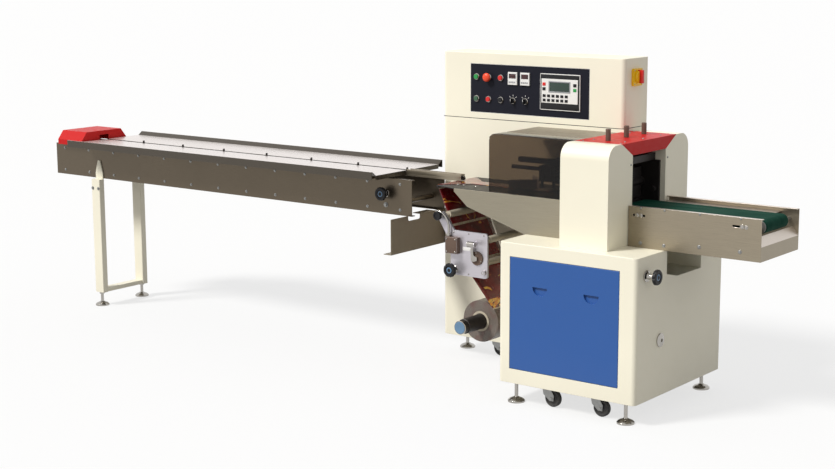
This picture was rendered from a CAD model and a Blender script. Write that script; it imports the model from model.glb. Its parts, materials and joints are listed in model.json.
"""Looks of the horizontal flow wrapper: finishes, small hardware, film, lights and camera round its CAD part."""

import json
import math

import bmesh
import bpy
from mathutils import Matrix, Vector

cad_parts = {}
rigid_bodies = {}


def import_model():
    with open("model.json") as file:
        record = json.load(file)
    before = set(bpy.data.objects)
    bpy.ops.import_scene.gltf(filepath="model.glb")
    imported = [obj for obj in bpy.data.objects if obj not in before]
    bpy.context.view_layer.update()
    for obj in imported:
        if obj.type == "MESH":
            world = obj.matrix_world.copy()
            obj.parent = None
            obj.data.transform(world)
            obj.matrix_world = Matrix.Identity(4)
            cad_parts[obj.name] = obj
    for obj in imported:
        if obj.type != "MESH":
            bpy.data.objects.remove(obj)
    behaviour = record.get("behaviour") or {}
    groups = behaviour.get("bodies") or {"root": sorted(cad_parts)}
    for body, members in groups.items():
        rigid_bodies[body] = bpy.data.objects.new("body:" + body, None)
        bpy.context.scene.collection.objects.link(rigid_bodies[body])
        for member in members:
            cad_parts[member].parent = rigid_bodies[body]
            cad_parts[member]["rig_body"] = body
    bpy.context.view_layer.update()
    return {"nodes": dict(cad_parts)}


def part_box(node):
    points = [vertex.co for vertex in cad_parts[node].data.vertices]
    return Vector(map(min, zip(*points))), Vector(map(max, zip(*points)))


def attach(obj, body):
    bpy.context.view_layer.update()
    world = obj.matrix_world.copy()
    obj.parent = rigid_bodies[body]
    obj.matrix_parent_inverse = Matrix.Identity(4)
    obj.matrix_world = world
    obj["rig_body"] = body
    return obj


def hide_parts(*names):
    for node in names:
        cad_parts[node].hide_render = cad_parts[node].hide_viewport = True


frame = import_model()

MM = 0.001

AXES = {
    "X": Matrix(((0, 0, 1), (0, 1, 0), (-1, 0, 0))),
    "-X": Matrix(((0, 0, -1), (0, 1, 0), (1, 0, 0))),
    "Y": Matrix(((1, 0, 0), (0, 0, 1), (0, -1, 0))),
    "-Y": Matrix(((1, 0, 0), (0, 0, -1), (0, 1, 0))),
    "Z": Matrix.Identity(3),
}


# ----------------------------------------------------------------------------------------------------
# Finishes


def srgb(red, green, blue):
    """A colour as it is seen, 0 to 255 a channel, in the renderer's linear light."""
    shares = [channel / 255 for channel in (red, green, blue)]
    return tuple(((c + 0.055) / 1.055) ** 2.4 if c > 10 / 255 else c / 12.92 for c in shares) + (1,)


def shade(colour, share):
    return tuple(channel * share for channel in colour[:3]) + (1,)


class Finish:
    """A material on a Principled shader, patterned in the row frame in metres."""

    def __init__(self, name, colour, roughness, metallic=0.0, **constants):
        self.material = bpy.data.materials.new(name)
        self.material.use_nodes = True
        self.tree = self.material.node_tree
        self.shader = self.tree.nodes["Principled BSDF"]
        self.colour = colour
        self.shader.inputs["Base Color"].default_value = colour
        self.shader.inputs["Roughness"].default_value = roughness
        self.shader.inputs["Metallic"].default_value = metallic
        for socket, number in constants.items():
            self.shader.inputs[socket.replace("_", " ")].default_value = number
        self.space = self.add("TexCoord").outputs["Object"]
        self.surface = None

    def add(self, kind, **settings):
        node = self.tree.nodes.new("ShaderNode" + kind)
        for name, setting in settings.items():
            setattr(node, name, setting)
        return node

    def feed(self, socket, source):
        if isinstance(source, bpy.types.NodeSocket):
            self.tree.links.new(source, socket)
        else:
            socket.default_value = source

    def scaled(self, stretch, shift=(0, 0, 0)):
        mapping = self.add("Mapping")
        self.feed(mapping.inputs["Vector"], self.space)
        mapping.inputs["Scale"].default_value = stretch
        mapping.inputs["Location"].default_value = shift
        return mapping.outputs["Vector"]

    def noise(self, scale, stretch=(1, 1, 1), detail=3.0, roughness=0.5, distortion=0.0):
        """Cloudy pattern of about scale cells a metre, from 0 to 1."""
        texture = self.add("TexNoise")
        self.feed(texture.inputs["Vector"], self.scaled(stretch))
        for name, number in (("Scale", scale), ("Detail", detail), ("Roughness", roughness),
                             ("Distortion", distortion)):
            texture.inputs[name].default_value = number
        return texture.outputs["Fac"]

    def waves(self, scale, direction="X"):
        texture = self.add("TexWave", bands_direction=direction)
        self.feed(texture.inputs["Vector"], self.space)
        texture.inputs["Scale"].default_value = scale
        return texture.outputs["Fac"]

    def part(self, axis):
        split = self.add("SeparateXYZ")
        self.feed(split.inputs[0], self.space)
        return split.outputs["XYZ".index(axis)]

    def math(self, operation, first, second=0.0):
        node = self.add("Math", operation=operation)
        self.feed(node.inputs[0], first)
        self.feed(node.inputs[1], second)
        return node.outputs[0]

    def spread(self, source, low, high, to_low=0.0, to_high=1.0):
        """The source's stretch from low to high, mapped to another and held at its ends."""
        node = self.add("MapRange")
        for name, worth in (("Value", source), ("From Min", low), ("From Max", high), ("To Min", to_low),
                            ("To Max", to_high)):
            self.feed(node.inputs[name], worth)
        return node.outputs["Result"]

    def blend(self, share, first, second):
        node = self.add("Mix", data_type="RGBA")
        self.feed(node.inputs[0], share)
        self.feed(node.inputs[6], first)
        self.feed(node.inputs[7], second)
        return node.outputs[2]

    def paint(self, source):
        self.feed(self.shader.inputs["Base Color"], source)
        return self

    def gloss(self, source, low, high):
        self.feed(self.shader.inputs["Roughness"], self.spread(source, 0.3, 0.7, low, high))
        return self

    def relief(self, source, depth, strength=1.0):
        """Bump of that depth, laid over what is there already."""
        node = self.add("Bump")
        node.inputs["Strength"].default_value = strength
        node.inputs["Distance"].default_value = depth
        self.feed(node.inputs["Height"], source)
        if self.surface is not None:
            self.feed(node.inputs["Normal"], self.surface)
        self.surface = node.outputs["Normal"]
        self.feed(self.shader.inputs["Normal"], self.surface)
        return self


def powder_coat(name, colour, roughness=0.42, dust=0.10, shine=0.5):
    """Sprayed metal: orange peel, faint clouding, and dust towards the floor."""
    coat = Finish(name, colour, roughness, Specular_IOR_Level=shine)
    cloud = coat.spread(coat.noise(2.1, detail=4), 0.35, 0.65)
    body = coat.blend(cloud, shade(colour, 0.965), colour)
    low = coat.spread(coat.math("ADD", coat.part("Z"), coat.math("MULTIPLY", coat.noise(9, detail=6), 0.12)),
                      0.06, 0.36, dust, 0.0)
    coat.paint(coat.blend(low, body, srgb(150, 138, 118)))
    coat.gloss(coat.noise(38, detail=5), roughness - 0.06, roughness + 0.08)
    coat.relief(coat.noise(620, detail=2), 0.00006)
    return coat.material


def brushed(name, colour, roughness=0.34, along="X", metallic=0.85, top=None, level=(0.93, 0.98)):
    """Sheet metal ground along one axis, with handling marks, and polished by use where it faces up."""
    sheet = Finish(name, colour, roughness, metallic)
    stretch = {"X": (0.012, 1, 1), "Y": (1, 0.012, 1), "Z": (1, 1, 0.012)}[along]
    lines = sheet.noise(1500, stretch, detail=2, roughness=0.7)
    cloud = sheet.noise(3.2, detail=5, roughness=0.6)
    if top:
        split = sheet.add("SeparateXYZ")
        sheet.feed(split.inputs[0], sheet.add("NewGeometry").outputs["Normal"])
        upward = sheet.spread(split.outputs[2], *level)
        dark, bright = (sheet.blend(upward, shade(colour, share), shade(top, share)) for share in (0.86, 1.1))
    else:
        dark, bright = shade(colour, 0.86), shade(colour, 1.1)
    streaked = sheet.blend(sheet.spread(lines, 0.3, 0.7), dark, bright)
    sheet.paint(sheet.blend(sheet.spread(cloud, 0.35, 0.7, 0, 0.25), streaked, dark))
    sheet.gloss(sheet.math("ADD", sheet.math("MULTIPLY", lines, 0.6), sheet.math("MULTIPLY", cloud, 0.4)),
                roughness - 0.09, roughness + 0.1)
    sheet.relief(lines, 0.00003, 0.6)
    return sheet.material


def polished(name, colour, roughness=0.12, metallic=1.0):
    """Turned and plated metal with a faint haze of finger marks."""
    metal = Finish(name, colour, roughness, metallic)
    haze = metal.noise(70, detail=5, roughness=0.65)
    metal.paint(metal.blend(metal.spread(haze, 0.3, 0.8), colour, shade(colour, 0.82)))
    metal.gloss(haze, roughness, roughness + 0.14)
    metal.relief(metal.noise(1300, detail=1), 0.00001, 0.5)
    return metal.material


def moulded(name, colour, roughness=0.4, grain=0.00004, shine=0.5):
    """Injection-moulded plastic: fine spark grain and slight wear."""
    plastic = Finish(name, colour, roughness, Specular_IOR_Level=shine)
    wear = plastic.noise(26, detail=6, roughness=0.6)
    plastic.paint(plastic.blend(plastic.spread(wear, 0.45, 0.8, 0, 0.5), colour, shade(colour, 0.82)))
    plastic.gloss(wear, roughness - 0.05, roughness + 0.12)
    plastic.relief(plastic.noise(2600, detail=1), grain)
    return plastic.material


def rubber(name, colour, roughness=0.7):
    """Vulcanised rubber, dusty in patches."""
    tread = Finish(name, colour, roughness)
    dust = tread.noise(55, detail=6, roughness=0.65)
    tread.paint(tread.blend(tread.spread(dust, 0.42, 0.75, 0, 0.35), colour, srgb(120, 116, 108)))
    tread.gloss(dust, roughness - 0.1, roughness + 0.1)
    tread.relief(tread.noise(900, detail=3), 0.00008)
    return tread.material


def smoked(name, colour, roughness=0.03):
    """Tinted acrylic that lets lamps through, with faint wiping marks."""
    pane = Finish(name, colour, roughness, Transmission_Weight=1.0, IOR=1.3)
    marks = pane.noise(5, (1, 1, 3), detail=6, roughness=0.65)
    pane.paint(pane.blend(pane.spread(marks, 0.4, 0.8, 0, 0.3), colour, shade(colour, 0.75)))
    pane.gloss(marks, roughness, roughness + 0.05)
    clear = pane.add("BsdfTransparent")
    clear.inputs["Color"].default_value = colour
    lamps = pane.add("MixShader")
    pane.feed(lamps.inputs[0], pane.add("LightPath").outputs["Is Shadow Ray"])
    pane.feed(lamps.inputs[1], pane.shader.outputs[0])
    pane.feed(lamps.inputs[2], clear.outputs[0])
    pane.feed(pane.tree.nodes["Material Output"].inputs["Surface"], lamps.outputs[0])
    return pane.material


def woven_belt(name, colour):
    """PVC conveyor belt with a fine fabric print."""
    belt = Finish(name, colour, 0.7, Specular_IOR_Level=0.06)
    weave = belt.math("MULTIPLY", belt.waves(260, "X"), belt.waves(260, "Y"))
    scuff = belt.noise(14, (0.3, 1.6, 1), detail=6)
    belt.paint(belt.blend(belt.spread(scuff, 0.42, 0.75, 0, 0.45), colour, shade(colour, 0.6)))
    belt.gloss(scuff, 0.62, 0.8)
    belt.relief(weave, 0.00012, 0.6)
    return belt.material


def printed_film(name):
    """Wrapping film of a made-up design: dark red with warm brush shapes and pale bands between the packs."""
    red = srgb(132, 24, 26)
    film = Finish(name, red, 0.2, Coat_Weight=0.6, Coat_Roughness=0.08)
    ground = film.blend(film.spread(film.noise(16, detail=3), 0.35, 0.65), red, srgb(92, 14, 20))
    brush = film.noise(17, (1, 0.55, 0.7), detail=2.5, distortion=1.6)
    warm = film.blend(film.spread(film.noise(40, detail=2), 0.4, 0.6), srgb(236, 140, 40), srgb(243, 200, 96))
    print_mix = film.blend(film.spread(brush, 0.63, 0.65), ground, warm)
    run = film.math("ADD", film.math("MULTIPLY", film.part("X"), 0.35), film.part("Z"))
    share = film.math("FRACT", film.math("MULTIPLY", run, 7.2))
    band = film.math("LESS_THAN", film.math("ABSOLUTE", film.math("SUBTRACT", share, 0.5)), 0.03)
    grain = film.spread(film.noise(120, detail=2), 0.45, 0.55)
    pale = film.blend(grain, srgb(226, 214, 190), srgb(200, 186, 160))
    film.paint(film.blend(film.math("MULTIPLY", band, 0.85), print_mix, pale))
    film.gloss(film.noise(30, detail=4), 0.14, 0.3)
    film.relief(film.noise(11, (1, 1, 0.4), detail=3), 0.0012, 0.5)
    return film.material


def wound_edge(name, axis_x, axis_z):
    """The side of a wound roll: thousands of layers that show as fine rings."""
    edge = Finish(name, srgb(84, 76, 70), 0.42)
    away_x = edge.math("SUBTRACT", edge.part("X"), axis_x)
    away_z = edge.math("SUBTRACT", edge.part("Z"), axis_z)
    radius = edge.math("SQRT", edge.math("ADD", edge.math("MULTIPLY", away_x, away_x),
                                         edge.math("MULTIPLY", away_z, away_z)))
    rings = edge.add("TexNoise", noise_dimensions="1D")
    edge.feed(rings.inputs["W"], edge.math("MULTIPLY", radius, 1400))
    rings.inputs["Detail"].default_value = 3
    rings.inputs["Scale"].default_value = 1
    cloud = edge.noise(24, detail=5)
    tone = edge.blend(edge.spread(rings.outputs["Fac"], 0.3, 0.7), srgb(58, 50, 48), srgb(138, 128, 118))
    edge.paint(edge.blend(edge.spread(cloud, 0.45, 0.7, 0, 0.5), tone, srgb(96, 52, 46)))
    edge.gloss(cloud, 0.3, 0.5)
    edge.relief(rings.outputs["Fac"], 0.0002, 0.7)
    return edge.material


def glowing(name, colour, strength):
    """A lit display: fine pixel rows over a dark ground."""
    lit = Finish(name, colour, 0.15, Coat_Weight=0.5, Coat_Roughness=0.05)
    rows = lit.waves(900, "Z")
    lit.paint(lit.blend(lit.spread(rows, 0.2, 0.8), shade(colour, 0.7), colour))
    lit.shader.inputs["Emission Color"].default_value = colour
    lit.shader.inputs["Emission Strength"].default_value = strength
    return lit.material


STEEL = srgb(152, 142, 124)
REEL_LOW, REEL_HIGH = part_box("reel_shaft")
FINISHES = {
    "cream_paint": powder_coat("cream_powder_coat", srgb(244, 239, 219)),
    "blue_paint": powder_coat("blue_powder_coat", srgb(46, 90, 158), 0.36, 0.03, 0.35),
    "red_paint": powder_coat("red_enamel", srgb(196, 34, 33), 0.4, 0.0, 0.12),
    "stainless": brushed("brushed_stainless", STEEL, top=srgb(214, 204, 194), level=(0.3, 0.6)),
    "skirt_stainless": brushed("skirt_stainless", srgb(148, 141, 124), 0.36, metallic=0.45),
    "infeed_stainless": brushed("infeed_stainless", srgb(104, 94, 80), 0.32),
    "deck_stainless": brushed("deck_stainless", srgb(84, 78, 70), 0.3, metallic=0.75, top=srgb(232, 224, 220)),
    "grey_sheet": powder_coat("grey_sheet", srgb(140, 130, 112), 0.45, 0.05),
    "aluminium": brushed("anodised_aluminium", srgb(196, 192, 198), 0.36, metallic=0.6),
    "chrome": polished("chrome", srgb(176, 172, 166)),
    "zinc": polished("zinc_plate", srgb(150, 150, 148), 0.3, 0.9),
    "dark_metal": polished("blackened_steel", srgb(44, 40, 39), 0.4, 0.6),
    "navy_panel": moulded("navy_overlay", srgb(29, 30, 39), 0.45, 0.00002, 0.1),
    "white_plastic": moulded("white_plastic", srgb(236, 235, 232), 0.3),
    "black_plastic": moulded("black_plastic", srgb(22, 22, 25), 0.42, 0.00008, 0.3),
    "red_plastic": moulded("red_plastic", srgb(214, 32, 28), 0.28),
    "yellow_plastic": moulded("yellow_plastic", srgb(250, 204, 20), 0.3),
    "smoked_acrylic": smoked("smoked_acrylic", srgb(98, 84, 70)),
    "green_belt": woven_belt("green_belt", srgb(12, 58, 45)),
    "roller_rubber": rubber("roller_rubber", srgb(190, 180, 160), 0.5),
    "printed_film": printed_film("printed_film"),
    "wound_film": wound_edge("wound_film_edge", (REEL_LOW.x + REEL_HIGH.x) / 2, (REEL_LOW.z + REEL_HIGH.z) / 2),
    "chain_steel": polished("oiled_chain", srgb(60, 56, 54), 0.3, 0.8),
    "wheel_rubber": rubber("wheel_rubber", srgb(34, 34, 36)),
    "orange_plastic": moulded("orange_plastic", srgb(238, 72, 32), 0.3),
    "green_plastic": moulded("green_plastic", srgb(30, 150, 70), 0.25),
    "dull_green_plastic": moulded("dull_green_plastic", srgb(52, 92, 66), 0.3),
    "blue_plastic": moulded("blue_plastic", srgb(100, 134, 166), 0.35),
    "grey_plastic": moulded("grey_plastic", srgb(150, 152, 156), 0.35),
    "green_screen": glowing("green_screen", srgb(8, 50, 34), 0.03),
    "brown_metal": polished("brown_metal", srgb(104, 84, 72), 0.42, 0.4),
    "red_screen": glowing("red_screen", srgb(70, 14, 16), 0.2),
}


# ----------------------------------------------------------------------------------------------------
# Shapes


class Shape:
    """A mesh under construction in the row frame."""

    def __init__(self):
        self.mesh = bmesh.new()

    def spin(self, outline, centre, axis="Z", steps=32):
        """A turned shape from radius and height pairs, its height along the axis from centre."""
        turn = AXES[axis]
        rings = []
        for radius, height in outline:
            if radius < 1e-7:
                spots = [(0, 0)]
            else:
                angles = [2 * math.pi * step / steps for step in range(steps)]
                spots = [(radius * math.cos(angle), radius * math.sin(angle)) for angle in angles]
            rings.append([self.mesh.verts.new(Vector(centre) + turn @ Vector((x, y, height)))
                          for x, y in spots])
        for low, high in zip(rings, rings[1:]):
            for step in range(steps):
                after = (step + 1) % steps
                corners = [low[step % len(low)], low[after % len(low)], high[after % len(high)],
                           high[step % len(high)]]
                corners = list(dict.fromkeys(corners))
                if len(corners) > 2:
                    self.mesh.faces.new(corners)
        for ring in (rings[0], rings[-1]):
            if len(ring) > 1:
                self.mesh.faces.new(ring)
        return self

    def block(self, low, high, bevel=0.0005, segments=2):
        low, high = Vector(low), Vector(high)
        size = high - low
        place = Matrix.Translation((low + high) / 2) @ Matrix.Diagonal((*size, 1))
        made = bmesh.ops.create_cube(self.mesh, size=1, matrix=place)
        rim = {edge for vert in made["verts"] for edge in vert.link_edges}
        width = min(bevel, min(size) * 0.45)
        bmesh.ops.bevel(self.mesh, geom=list(rim), offset=width, segments=segments, affect="EDGES", profile=0.5)
        return self

    def plate(self, outline, centre, axis, thickness, bevel=0.0004, segments=2):
        """A flat shape cut to an outline of x, y pairs, its thickness along the axis from centre."""
        turn = AXES[axis]
        ring = [self.mesh.verts.new(Vector(centre) + turn @ Vector((x, y, 0))) for x, y in outline]
        face = self.mesh.faces.new(ring)
        made = bmesh.ops.extrude_face_region(self.mesh, geom=[face])["geom"]
        moved = [item for item in made if isinstance(item, bmesh.types.BMVert)]
        bmesh.ops.translate(self.mesh, verts=moved, vec=turn @ Vector((0, 0, thickness)))
        rim = [item for item in made if isinstance(item, bmesh.types.BMEdge)]
        bmesh.ops.bevel(self.mesh, geom=rim, offset=bevel, segments=segments, affect="EDGES", profile=0.5)
        return self

    def done(self, name, body, finish, slot=None, sharp=35):
        bmesh.ops.recalc_face_normals(self.mesh, faces=self.mesh.faces[:])
        data = bpy.data.meshes.new(name)
        self.mesh.to_mesh(data)
        self.mesh.free()
        data.shade_smooth()
        data.set_sharp_from_angle(angle=math.radians(sharp))
        data.materials.append(FINISHES[finish])
        piece = bpy.data.objects.new(name, data)
        bpy.context.scene.collection.objects.link(piece)
        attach(piece, body)
        return piece


def screw(shape, centre, axis, radius=0.004, height=0.0025):
    """Domed head with a hexagon socket."""
    socket = radius * 0.42
    return shape.spin([(radius, 0), (radius, height * 0.35), (radius * 0.86, height * 0.75),
                       (radius * 0.6, height), (socket, height), (socket, height * 0.4), (0, height * 0.4)],
                      centre, axis, 24)


def bolt(shape, centre, axis, radius=0.007, height=0.005):
    """Hexagon head on a washer."""
    shape.spin([(radius * 1.35, 0), (radius * 1.35, height * 0.16), (radius * 1.28, height * 0.22),
                (0, height * 0.22)], centre, axis, 28)
    turn = AXES[axis]
    seat = Vector(centre) + turn @ Vector((0, 0, height * 0.2))
    return shape.spin([(radius, 0), (radius, height * 0.7), (radius * 0.9, height * 0.8), (0, height * 0.8)],
                      seat, axis, 6)


def round_corner(hood):
    """Turns the hood's hollow upper left corner outwards, under the bend along its top."""
    low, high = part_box("smoked_hood")
    radius, bend, margin = 0.025, 0.01, 0.0005
    lean = high.z - radius - low.x
    for vert in hood.verts:
        if vert.co.x < low.x + radius - margin and vert.co.z > high.z - radius + margin:
            share = min(1, max(0, 1 - (vert.co.y - low.y) / bend))
            crown = high.z - bend * (1 - math.sqrt(1 - share ** 2))
            vert.co.x, vert.co.z = vert.co.z - lean, min(vert.co.x + lean, crown)


def skin(node, finish=None, bevel=0.0007, segments=2, weld=1e-6):
    """The CAD node's own shape with its edges eased, standing for the node."""
    source = frame["nodes"][node]
    slot = source.data.materials[0].name
    shape = bmesh.new()
    shape.from_mesh(source.data)
    bmesh.ops.remove_doubles(shape, verts=shape.verts, dist=weld)
    bmesh.ops.dissolve_limit(shape, angle_limit=math.radians(0.8), verts=shape.verts, edges=shape.edges)
    for low, high, shift in NUDGES.get(node, ()):
        inside = [vert for vert in shape.verts
                  if all(a * MM <= place <= b * MM for a, place, b in zip(low, vert.co, high))]
        bmesh.ops.translate(shape, verts=inside, vec=Vector(shift) * MM)
    if node == "smoked_hood":
        round_corner(shape)
    data = bpy.data.meshes.new(node + "_skin")
    shape.to_mesh(data)
    shape.free()
    data.shade_smooth()
    data.set_sharp_from_angle(angle=math.radians(32))
    data.materials.append(FINISHES[finish or slot])
    piece = bpy.data.objects.new(node + "_skin", data)
    bpy.context.scene.collection.objects.link(piece)
    if bevel:
        ease = piece.modifiers.new("eased_edges", "BEVEL")
        ease.width = bevel
        ease.segments = segments
        ease.limit_method = "ANGLE"
        ease.angle_limit = math.radians(32)
        ease.use_clamp_overlap = True
        even = piece.modifiers.new("even_shading", "WEIGHTED_NORMAL")
        even.keep_sharp = True
    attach(piece, source["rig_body"])
    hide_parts(node)
    return piece


# ----------------------------------------------------------------------------------------------------
# The CAD nodes in their finishes

# Small corrections of the skins, in millimetres: points from one corner to another and how far they move.
FAR = 9999
NUDGES = {
    "crimper_guards": [((-FAR, -FAR, 0), (1316, FAR, FAR), (-17, 0, 0))],
    "crimper_lid": [((-FAR, -FAR, 0), (1318, FAR, FAR), (-17, 0, 0))],
    "smoked_hood": [((1300, -FAR, 0), (FAR, FAR, FAR), (-17, 0, 0))],
    "former_table": [((-FAR, -FAR, 0), (502, FAR, FAR), (37, 0, 0))],
    "chain_channel": [((540, -FAR, 0), (FAR, FAR, FAR), (-15, 0, 0))],
    "film_rollers": [((570, -FAR, 740), (625, FAR, 790), (-8, 0, -26)),
                     ((778, -FAR, 618), (824, FAR, 662), (13, 0, 8))],
}

OTHER_FINISH = {"infeed_frame": "infeed_stainless", "infeed_deck": "deck_stainless",
                "emergency_stop": "orange_plastic", "pressure_posts": "brown_metal",
                "table_skirt": "skirt_stainless"}
BEVELS = {"base_cabinet": 0.001, "smoked_hood": 0.0008, "display_panel": 0.0003, "film_roll": 0}
for node in frame["nodes"]:
    if node != "film_web":
        skin(node, OTHER_FINISH.get(node), BEVELS.get(node, 0.0006))


# ----------------------------------------------------------------------------------------------------
# Film


def at(x, y, z):
    """A place given in millimetres."""
    return Vector((x, y, z)) * MM


def eased(corners, steps=6):
    """A path through x, z, bend corners with each corner rounded over its bend's length."""
    path = []
    for before, (x, z, bend), after in zip([None] + corners, corners, corners[1:] + [None]):
        corner = Vector((x, z))
        if before is None or after is None:
            path.append(corner)
            continue
        enter = corner + (Vector(before[:2]) - corner).normalized() * bend
        leave = corner + (Vector(after[:2]) - corner).normalized() * bend
        for step in range(steps + 1):
            t = step / steps
            path.append(enter * (1 - t) ** 2 + corner * 2 * t * (1 - t) + leave * t ** 2)
    return path


def film_web():
    """The film from the reel over its rollers and the former's lip, drawn in to a tube on the table."""
    on_table = 870.6
    path = eased([(838, 332, 0), (691, 500, 14), (583, 742, 12), (525, 871, 7), (560, on_table, 5),
                  (640, on_table, 10), (841, on_table, 10), (1284, on_table, 0)])
    web = Shape()
    rows = []
    for x, z in path:
        drawn_in = 108 * (min(1, max(0, (x - 530) / 110)) if z > on_table - 2.6 else 0)
        low, high = -130 + drawn_in, 170 - drawn_in
        columns = 10
        rows.append([web.mesh.verts.new(at(x, low + (high - low) * column / columns, z))
                     for column in range(columns + 1)])
    for row, after in zip(rows, rows[1:]):
        for column in range(len(row) - 1):
            web.mesh.faces.new((row[column], row[column + 1], after[column + 1], after[column]))
    piece = web.done("film_web_sheet", "machine", "printed_film", sharp=60)
    thick = piece.modifiers.new("film_thickness", "SOLIDIFY")
    thick.thickness = 0.0006
    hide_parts("film_web")


def tube(shape, points, radius, steps=14):
    """A round bar bent through the points, in metres."""
    rings = []
    for before, spot, after in zip([points[0]] + points, points, points[1:] + [points[-1]]):
        way = (after - before).normalized()
        side = way.cross(Vector((0, 1, 0)))
        side = (side if side.length > 0.1 else way.cross(Vector((1, 0, 0)))).normalized()
        up = way.cross(side)
        rings.append([shape.mesh.verts.new(spot + radius * (side * math.cos(turn) + up * math.sin(turn)))
                      for turn in (2 * math.pi * step / steps for step in range(steps))])
    for low, high in zip(rings, rings[1:]):
        for step in range(steps):
            after = (step + 1) % steps
            shape.mesh.faces.new((low[step], low[after], high[after], high[step]))
    shape.mesh.faces.new(rings[0])
    shape.mesh.faces.new(rings[-1])
    return shape


film_web()

bar = Shape()
bar.block(at(577, -133, 727), at(589, 173, 741), 0.002)
bar.done("film_bar", "machine", "white_plastic")

lever = Shape()
arc = [at(550 + 70 * math.sin(turn), -172, 688 + 70 * math.cos(turn))
       for turn in (math.radians(angle) for angle in range(0, 91, 9))]
tube(lever, [at(550, -172, 744)] + arc + [at(620, -172, 660)], 0.005)
lever.block(at(612, -178, 648), at(628, -160, 664), 0.002)
lever.done("film_clamp_lever", "machine", "chrome")

block = Shape()
block.block(at(609, -187, 573), at(676, -159.5, 649), 0.004, 3)
block.spin([(0.0314, 0), (0.0314, 0.0054), (0.0306, 0.0064), (0, 0.0064)], at(769, -160, 562), "-Y", 48)
block.done("film_unit_block", "machine", "brown_metal", "dark_metal")

fittings = Shape()
fittings.spin([(0, 0), (0.009, 0), (0.0136, 0.004), (0.0136, 0.040), (0.009, 0.044), (0, 0.044)],
              at(738, -194, 629), "X", 36)
screw(fittings, at(808, -160, 502), "-Y", 0.0118, 0.0146)
for x, z in ((618, 582), (667, 582), (618, 640), (667, 640)):
    screw(fittings, at(x, -187, z), "-Y", 0.0042, 0.0028)
for angle in (95, 215, 335):
    turn = math.radians(angle)
    screw(fittings, at(769 + 25.5 * math.cos(turn), -166.4, 562 + 25.5 * math.sin(turn)), "-Y", 0.003, 0.002)
for x, z in ((640, 668), (722, 668), (805, 668), (722, 484)):
    screw(fittings, at(x, -160, z), "-Y", 0.0036, 0.0024)
fittings.done("film_plate_fittings", "machine", "chrome")

strip = Shape()
strip.block(at(690, -160.6, 590), at(736, -159.8, 606), 0.0003)
strip.done("film_plate_strip", "machine", "white_plastic")

screws = Shape()
for x in (599, 633, 700):
    screw(screws, at(x, -72, 869), "Z", 0.007, 0.004)
screws.done("table_screws", "machine", "chrome")

cheeks = Shape()
for y in (4, 33):
    cheeks.block(at(244, y, 884), at(559, y + 3, 903), 0.0006)
cheeks.done("channel_cheeks", "machine", "stainless")

reel = Shape()
reel.spin([(0.0305, 0), (0.0305, 0.004), (0.0285, 0.006), (0.0285, 0.004), (0, 0.004)],
          at(767, -284, 269), "-Y", 48)
reel.done("reel_cap_ring", "film_reel", "chrome")
cap = Shape()
cap.spin([(0.0272, 0), (0.0272, 0.0025), (0.024, 0.0032), (0.02, 0.0022), (0, 0.0022)],
         at(767, -288, 269), "-Y", 48)
cap.done("reel_cap", "film_reel", "blue_plastic", "white_plastic")
core = Shape()
core.spin([(0.0462, 0), (0.0462, 0.0014), (0.0365, 0.0014), (0.0362, 0)], at(767, -129.9, 269), "-Y", 64)
core.done("reel_core", "film_reel", "roller_rubber")

# ----------------------------------------------------------------------------------------------------
# Controls on the display panel

PANEL_LOW, PANEL_HIGH = (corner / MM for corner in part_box("display_panel"))
PANEL_Y = PANEL_LOW.y
COLUMNS = [PANEL_LOW.x + 36 + 67.5 * count for count in range(5)]
ROW_LOW, ROW_HIGH = PANEL_LOW.z + 64, PANEL_LOW.z + 165


def rim(shape, low_x, low_z, high_x, high_z, width, back, front, bevel=0.0002):
    """Four thin strips round a rectangle on the panel, from one depth to another."""
    for x0, z0, x1, z1 in ((low_x, low_z, high_x, low_z + width), (low_x, high_z - width, high_x, high_z),
                           (low_x, low_z + width, low_x + width, high_z - width),
                           (high_x - width, low_z + width, high_x, high_z - width)):
        shape.block(at(x0, front, z0), at(x1, back, z1), bevel)
    return shape


def keys(name, finish, slot, places):
    """Flat keys or windows: low x, low z, high x, high z, back and front."""
    shape = Shape()
    for x0, z0, x1, z1, back, front in places:
        shape.block(at(x0, front, z0), at(x1, back, z1), 0.0005)
    shape.done(name, "machine", finish, slot)


border = Shape()
inset = 0.3
rim(border, PANEL_LOW.x + inset, PANEL_LOW.z + inset, PANEL_HIGH.x - inset, PANEL_HIGH.z - inset, 1.4,
    PANEL_Y + 0.2, PANEL_Y - 0.3)
for column in (3, 4):
    for angle in (-45, 0, 45):
        turn = math.radians(angle)
        way, side = Vector((math.sin(turn), math.cos(turn))), Vector((math.cos(turn), -math.sin(turn)))
        ends = [way * 20 - side, way * 20 + side, way * 27 + side, way * 27 - side]
        spot = at(COLUMNS[column], PANEL_Y + 0.1, ROW_LOW)
        border.plate([tuple(end * MM) for end in ends], spot, "-Y", 0.0004, 0.0001)
border.done("panel_print", "machine", "white_plastic")

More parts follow.
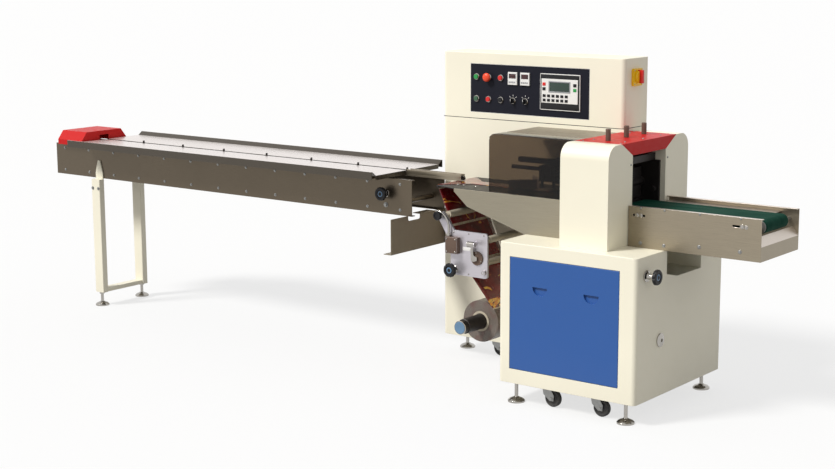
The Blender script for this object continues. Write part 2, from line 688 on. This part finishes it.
rings = Shape()
for column, row in ((0, ROW_HIGH), (1, ROW_HIGH), (2, ROW_HIGH), (0, ROW_LOW), (1, ROW_LOW), (2, ROW_LOW),
                    (3, ROW_LOW), (4, ROW_LOW)):
    inner = 0.0122 if (column < 3 and (column, row) != (1, ROW_HIGH)) else 0.0088
    rings.spin([(0.0154, 0), (0.0154, 0.004), (0.0136, 0.0062), (inner, 0.0062), (inner, 0.0058)],
               at(COLUMNS[column], PANEL_Y, row), "-Y", 40)
rings.done("control_rings", "machine", "chrome", "black_plastic")
for name, column, row, finish, slot in (("lamp_green", 0, ROW_HIGH, "green_plastic", "black_plastic"),
                                        ("button_stop", 2, ROW_HIGH, "red_plastic", "red_plastic"),
                                        ("button_start", 0, ROW_LOW, "dull_green_plastic", "black_plastic"),
                                        ("button_off", 1, ROW_LOW, "red_plastic", "red_plastic"),
                                        ("button_jog", 2, ROW_LOW, "black_plastic", "black_plastic")):
    button = Shape()
    button.spin([(0.0114, 0.004), (0.0114, 0.0092), (0.0106, 0.0104), (0.006, 0.0108), (0, 0.011)],
                at(COLUMNS[column], PANEL_Y, row), "-Y", 36)
    button.done(name, "machine", finish, slot)
for side, column in (("left", 3), ("right", 4)):
    pointer = Shape()
    middle = COLUMNS[column]
    pointer.block(at(middle - 1, 152.1, ROW_LOW - 1), at(middle + 1, 153, ROW_LOW + 10.5), 0.0002)
    pointer.done(f"knob_pointer_{side}", f"selector_knob_{side}", "white_plastic")

windows, rows, small, frames = [], [], [], Shape()
for x in (COLUMNS[3], COLUMNS[4]):
    rim(frames, x - 25.3, ROW_HIGH - 29.3, x + 25.3, ROW_HIGH + 29.3, 1.6, PANEL_Y, PANEL_Y - 3)
    windows.append((x - 19, ROW_HIGH, x + 19, ROW_HIGH + 21, PANEL_Y - 5, PANEL_Y - 6.6))
    rows += [(x - 15, ROW_HIGH + 11.5, x + 15, ROW_HIGH + 18.5, PANEL_Y - 6, PANEL_Y - 7),
             (x - 15, ROW_HIGH + 2.5, x + 15, ROW_HIGH + 8.5, PANEL_Y - 6, PANEL_Y - 7)]
    small += [(x - 18.8 + 9.5 * key, ROW_HIGH - 19.8, x - 11.6 + 9.5 * key, ROW_HIGH - 12.2, PANEL_Y - 8,
               PANEL_Y - 9.4) for key in range(4)]
frames.done("controller_frames", "machine", "grey_plastic", "white_plastic")
keys("controller_windows", "black_plastic", "black_plastic", windows)
keys("controller_digits", "red_screen", "red_plastic", rows)
keys("controller_keys", "grey_plastic", "white_plastic", small)

TERMINAL_LOW, TERMINAL_HIGH = (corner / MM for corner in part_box("operator_terminal"))
wide, tall = TERMINAL_HIGH.x - TERMINAL_LOW.x, TERMINAL_HIGH.z - TERMINAL_LOW.z


def on_terminal(x0, z0, x1, z1, back, front):
    """A rectangle on the terminal: x in millimetres, z as shares of its height, depths before the panel."""
    return (TERMINAL_LOW.x + x0, TERMINAL_LOW.z + z0 * tall, TERMINAL_LOW.x + x1, TERMINAL_LOW.z + z1 * tall,
            PANEL_Y - back, PANEL_Y - front)


keys("terminal_frame_bands", "black_plastic", "black_plastic",
     [on_terminal(2.5, 0.02, wide - 2.5, 0.198, 4.5, 5.5), on_terminal(2.5, 0.862, wide - 2.5, 0.98, 4.5, 5.5),
      on_terminal(2.5, 0.2, 9.8, 0.86, 4.5, 5.5), on_terminal(wide - 9.8, 0.2, wide - 2.5, 0.86, 4.5, 5.5)])
bezel = Shape()
rim(bezel, TERMINAL_LOW.x + wide * 0.25 - 5, TERMINAL_LOW.z + tall * 0.52 - 5, TERMINAL_LOW.x + wide * 0.75 + 5,
    TERMINAL_LOW.z + tall * 0.77 + 5, 5, PANEL_Y - 8.6, PANEL_Y - 9.8, 0.0004)
bezel.done("terminal_bezel", "machine", "grey_plastic", "white_plastic")
keys("terminal_screen", "green_screen", "black_plastic",
     [on_terminal(wide * 0.25 + 0.3, 0.522, wide * 0.75 - 0.3, 0.768, 6, 7.8)])
side_keys = [[on_terminal(x, 0.54 + 0.13 * row, x + 16.4, 0.54 + 0.13 * row + 0.086, 9, 10.8)
              for x in (15.8, wide - 32.2)] for row in range(2)]
keys("terminal_red_key", "red_plastic", "red_plastic", [side_keys[1][0]])
keys("terminal_green_key", "green_plastic", "black_plastic", [side_keys[0][1]])
keys("terminal_black_keys", "black_plastic", "black_plastic",
     [side_keys[0][0], side_keys[1][1]]
     + [on_terminal(17.8 + column * wide / 9, 0.238 + row * 0.12, 18.2 + column * wide / 9 + wide / 14,
                    0.242 + row * 0.12 + 1 / 14, 9, 10.8) for row in range(2) for column in range(6)])

# ----------------------------------------------------------------------------------------------------
# Hardware

shadow_gap = Shape()
shadow_gap.block(at(336, 176.2, 1144.2), at(1308, 178.4, 1146.8), 0.0002)
shadow_gap.block(at(1307.6, 178.4, 1144.2), at(1309.8, 362, 1146.8), 0.0002)
shadow_gap.done("shadow_gap", "machine", "black_plastic")

switch_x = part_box("switch_handle")[0].x
switch_y, switch_z = 0.271, 1.366
boss = Shape()
boss.spin([(0.0276, 0), (0.0276, 0.0055), (0.0262, 0.0094), (0, 0.0094)],
          (switch_x, switch_y, switch_z), "X", 48)
boss.done("switch_boss", "switch_handle", "yellow_plastic")
corners = Shape()
for y in (-30, 30):
    for z in (-30, 30):
        screw(corners, (switch_x - 0.0006, switch_y + y * MM, switch_z + z * MM), "X", 0.003, 0.0016)
corners.done("switch_screws", "machine", "zinc")

for name, centre, axis in (("infeed_handwheel", (208, 0, 800), "-Y"), ("film_handwheel", (646, 0, 500), "-Y"),
                           ("side_handwheel", (0, -301, 621), "X")):
    low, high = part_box(name)
    spot = at(*centre)
    if axis == "X":
        spot.x = high.x - 0.0036
    else:
        spot.y = low.y + 0.0036
    ring = Shape()
    ring.spin([(0.0135, 0), (0.0135, 0.0012), (0.0105, 0.0016), (0, 0.0016)], spot, axis, 40)
    ring.done(name + "_cap", name, "blue_plastic", "white_plastic")
    centre_screw = Shape()
    screw(centre_screw, spot + AXES[axis] @ Vector((0, 0, 0.001)), axis, 0.0088, 0.002)
    centre_screw.done(name + "_screw", name, "black_plastic")

bolts = Shape()
for count in range(13):
    x = -2060 + count * 196
    for z in (727, 848):
        for y, axis in ((-108, "-Y"), (148, "Y")):
            bolt(bolts, at(x, y, z), axis, 0.0055, 0.004)
bolt(bolts, at(208, -108, 745), "-Y", 0.009, 0.008)
for x in (-1802, -1758):
    for y, axis in ((-143, "-Y"), (183, "Y")):
        bolt(bolts, at(x, y, 650), axis, 0.007, 0.005)
for x in (1590, 1700, 1860, 2040):
    for y, axis in ((-155, "-Y"), (195, "Y")):
        bolt(bolts, at(x, y, 722 if x < 1704 else 735), axis, 0.006, 0.0045)
        screw(bolts, at(x, y, 868), axis, 0.005, 0.003)
bolts.done("frame_bolts", "machine", "zinc")

slots = Shape()
for x in (1572, 1590, 2046, 2064):
    for y, axis in ((-155, "-Y"), (195, "Y")):
        bolt(slots, at(x, y, 836.5), axis, 0.0065, 0.005)
slots.done("discharge_slot_bolts", "machine", "chrome")

guard_screws = Shape()
for z in (760, 1040):
    for y in (-135, 175):
        screw(guard_screws, at(1528, y, z), "X", 0.0045, 0.003)
for y in (-190, 230):
    for x in (1330, 1510):
        screw(guard_screws, at(x, y, 1132), "Z", 0.004, 0.0026)
for x in (1345, 1495):
    for y in (-130, 20, 170):
        if not (x == 1345 and y == 20):
            screw(guard_screws, at(x, y, 1132), "Z", 0.0045, 0.003)
guard_screws.done("guard_screws", "machine", "zinc")

cover_screws = Shape()
for low, high in ((730, 1112), (1172, 1422)):
    for x in (355, 680, 965, 1289):
        for z in (low, high):
            screw(cover_screws, at(x, 375, z), "Y", 0.005, 0.003)
cover_screws.done("cover_screws", "machine", "zinc")

pusher_low, pusher_high = (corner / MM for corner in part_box("pusher_chain"))
links = Shape()
pitch = 19.05
for count in range(int((pusher_high.x - pusher_low.x - 40) / pitch)):
    x = pusher_low.x + 20 + count * pitch
    for y in (14.4, 24.2):
        outline = [(-0.0085, -0.003), (-0.005, -0.0045), (0.005, -0.0045), (0.0085, -0.003), (0.0085, 0.003),
                   (0.005, 0.0045), (-0.005, 0.0045), (-0.0085, 0.003)]
        links.plate(outline, at(x, y + 0.7 + (1.2 if count % 2 else 0), 890.3), "-Y", 0.0014, 0.0002, 1)
links.done("chain_links", "machine", "chain_steel")

for spot, (x, y) in {"front_left": (1249, -310), "front_right": (1489, -310), "rear_left": (581, 270),
                     "rear_right": (1489, 270)}.items():
    nuts = Shape()
    for side, axis in ((-17, "-Y"), (17, "Y")):
        bolt(nuts, at(x + 26, y + side, 40), axis, 0.0062, 0.005)
    nuts.done(f"caster_nuts_{spot}", f"caster_{spot}", "zinc")


# ----------------------------------------------------------------------------------------------------
# Studio


def floor():
    """A pale floor that shows white, keeps a soft shadow and throws little light back."""
    data = bpy.data.meshes.new("studio_floor")
    reach = 90
    data.from_pydata([(-reach, -reach, 0), (reach, -reach, 0), (reach, reach, 0), (-reach, reach, 0)], [],
                     [(0, 1, 2, 3)])
    ground = bpy.data.objects.new("studio_floor", data)
    bpy.context.scene.collection.objects.link(ground)
    pale = Finish("studio_floor", (0.8, 0.8, 0.8, 1), 0.9)
    path = pale.add("LightPath")
    seen = pale.math("MAXIMUM", path.outputs["Is Camera Ray"],
                     pale.math("MAXIMUM", path.outputs["Is Glossy Ray"], path.outputs["Is Transmission Ray"]))
    pale.paint(pale.blend(seen, (0.34, 0.33, 0.32, 1), (0.8, 0.8, 0.8, 1)))
    glow = pale.add("Emission")
    glow.inputs["Strength"].default_value = 1.0
    mixed = pale.add("MixShader")
    pale.feed(mixed.inputs[0], pale.math("MULTIPLY", seen, 0.7))
    pale.feed(mixed.inputs[1], pale.shader.outputs[0])
    pale.feed(mixed.inputs[2], glow.outputs[0])
    pale.feed(pale.tree.nodes["Material Output"].inputs["Surface"], mixed.outputs[0])
    data.materials.append(pale.material)


def surroundings(level):
    """A white backdrop to the eye and in reflections, and a plain level of light from all round."""
    world = bpy.data.worlds.new("studio")
    bpy.context.scene.world = world
    world.use_nodes = True
    tree = world.node_tree
    backdrop = tree.nodes["Background"]
    backdrop.inputs["Color"].default_value = (1, 1, 1, 1)
    path = tree.nodes.new("ShaderNodeLightPath")
    seen = tree.nodes.new("ShaderNodeMath")
    seen.operation = "MAXIMUM"
    tree.links.new(path.outputs["Is Camera Ray"], seen.inputs[0])
    tree.links.new(path.outputs["Is Glossy Ray"], seen.inputs[1])
    also = tree.nodes.new("ShaderNodeMath")
    also.operation = "MAXIMUM"
    tree.links.new(seen.outputs[0], also.inputs[0])
    tree.links.new(path.outputs["Is Transmission Ray"], also.inputs[1])
    strength = tree.nodes.new("ShaderNodeMapRange")
    tree.links.new(also.outputs[0], strength.inputs["Value"])
    strength.inputs["To Min"].default_value = level
    strength.inputs["To Max"].default_value = 1.0
    tree.links.new(strength.outputs["Result"], backdrop.inputs["Strength"])


def lamp(name, towards, strength, softness):
    """A wide soft source far off in that direction."""
    data = bpy.data.lights.new(name, "SUN")
    data.energy = strength
    data.angle = math.radians(softness)
    data.color = (1, 0.985, 0.96)
    source = bpy.data.objects.new(name, data)
    source.rotation_euler = Vector(towards).to_track_quat("Z", "Y").to_euler()
    bpy.context.scene.collection.objects.link(source)


def camera(place, yaw, pitch, roll, lens):
    data = bpy.data.cameras.new("photograph")
    data.lens = lens
    data.sensor_width = 36
    data.clip_end = 400
    eye = bpy.data.objects.new("photograph", data)
    yaw, pitch, roll = (math.radians(angle) for angle in (yaw, pitch, roll))
    forward = Vector((-math.sin(yaw) * math.cos(pitch), math.cos(yaw) * math.cos(pitch), -math.sin(pitch)))
    level = Vector((math.cos(yaw), math.sin(yaw), 0))
    upright = level.cross(forward)
    right = level * math.cos(roll) + upright * math.sin(roll)
    up = right.cross(forward)
    eye.matrix_world = Matrix.Translation(place) @ Matrix((right, up, -forward)).transposed().to_4x4()
    bpy.context.scene.collection.objects.link(eye)
    bpy.context.scene.camera = eye


floor()
surroundings(0.5)
lamp("key", (-0.35, -0.62, 0.72), 3.0, 14)
camera((4.789, -5.824, 1.924), 37.56, 10.23, -0.21, 68.38)
bpy.context.scene.view_settings.view_transform = "Standard"
